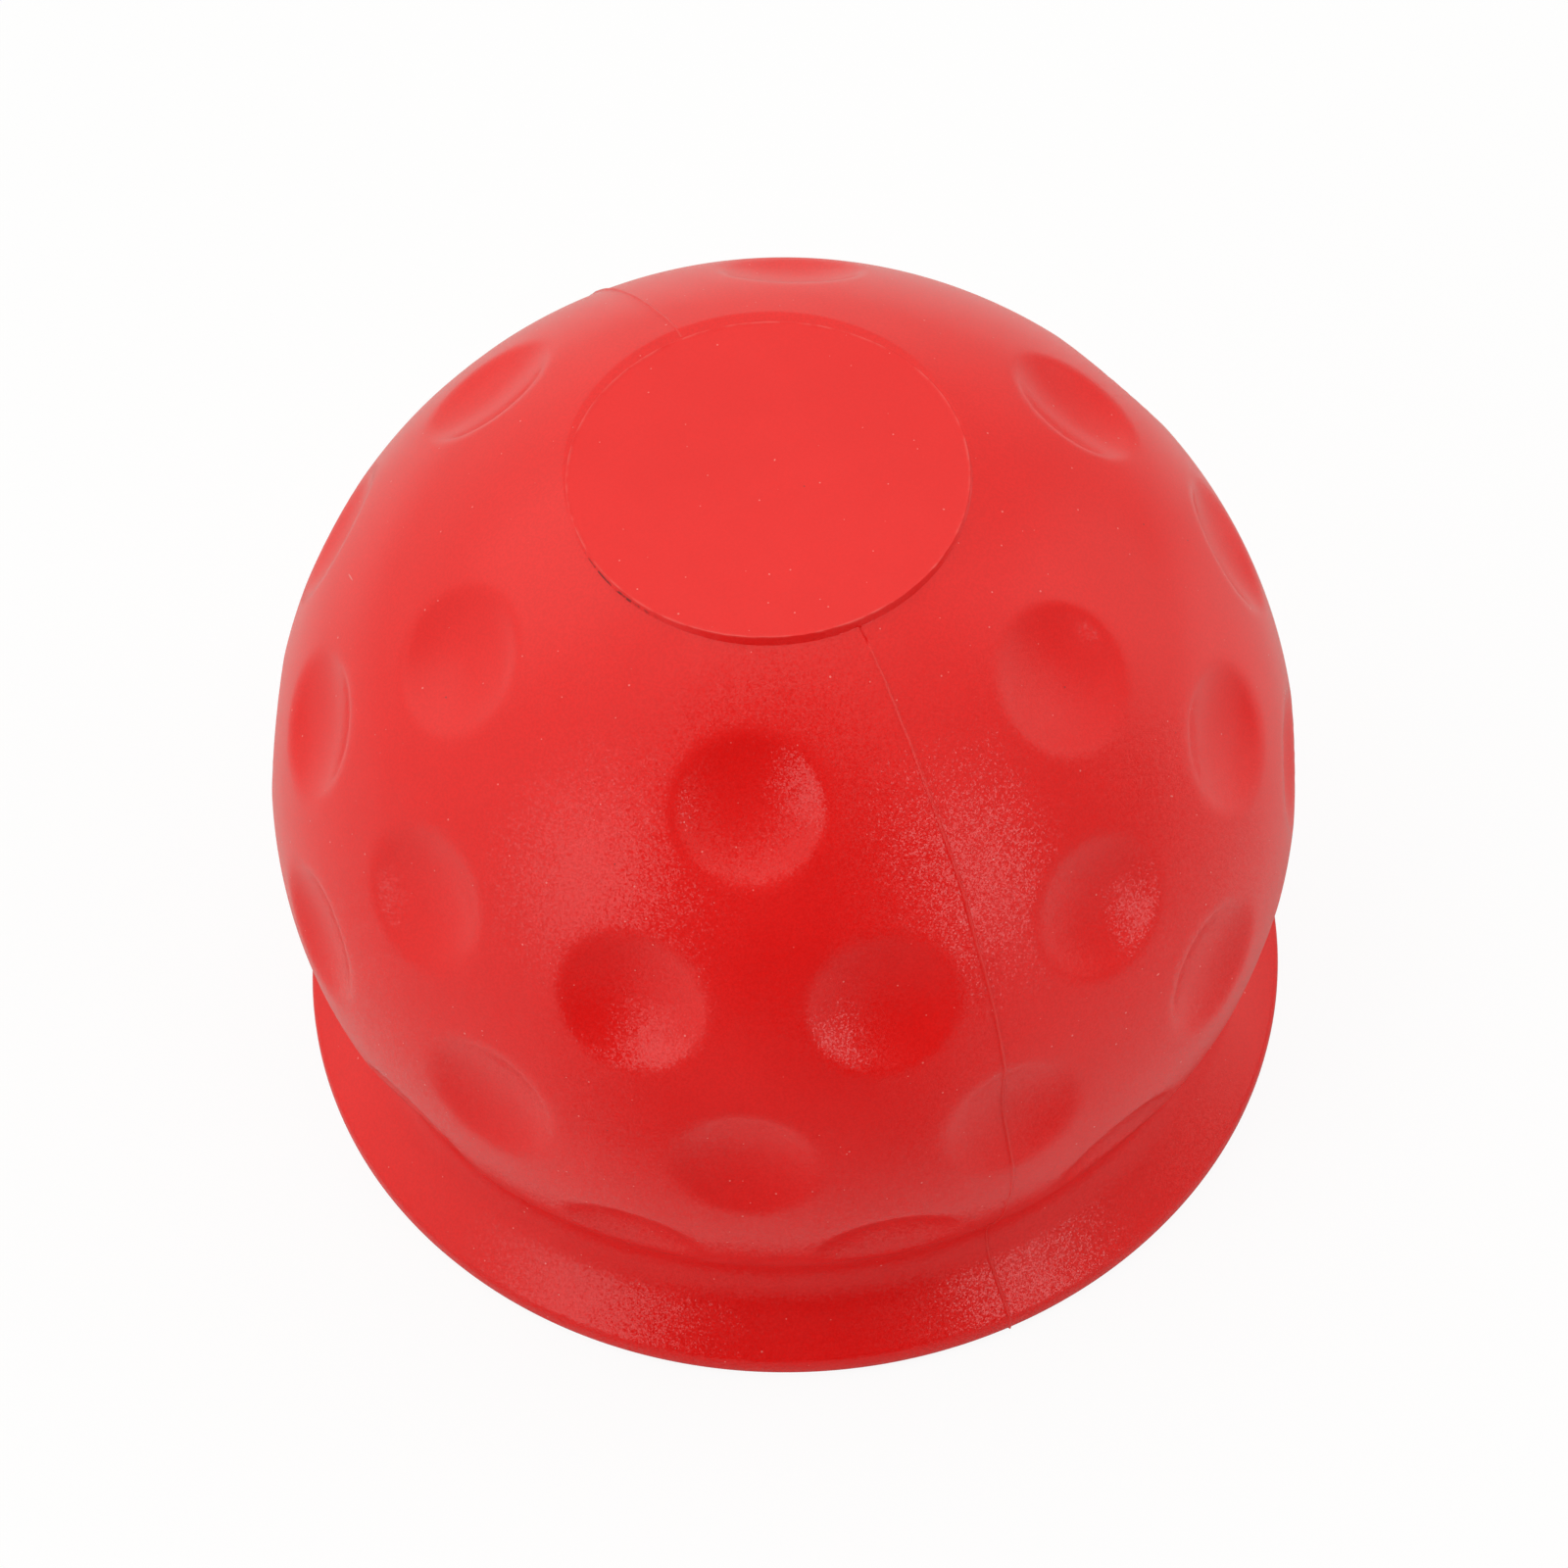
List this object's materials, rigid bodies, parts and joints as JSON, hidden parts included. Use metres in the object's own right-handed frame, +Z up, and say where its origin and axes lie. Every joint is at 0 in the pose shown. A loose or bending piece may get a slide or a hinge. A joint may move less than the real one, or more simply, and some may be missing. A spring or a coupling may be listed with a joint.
{
  "type": "tow ball cover",
  "caption": "Dimpled round rubber cover that snaps over a towing ball, with a flat crown disc, a narrow waist and a flared open base.",
  "frame": {"origin": "centre of the flange's base, on the axis", "axes": "+Z up the axis, from the open mouth to the crown disc; the moulding's parting plane is the YZ plane"},
  "size_m": [0.0618, 0.0618, 0.0497],
  "materials": {
    "red_rubber": "matt moulded, fine grain"
  },
  "bodies": {
    "root": {"cover": "red_rubber"}
  },
  "joints": []
}
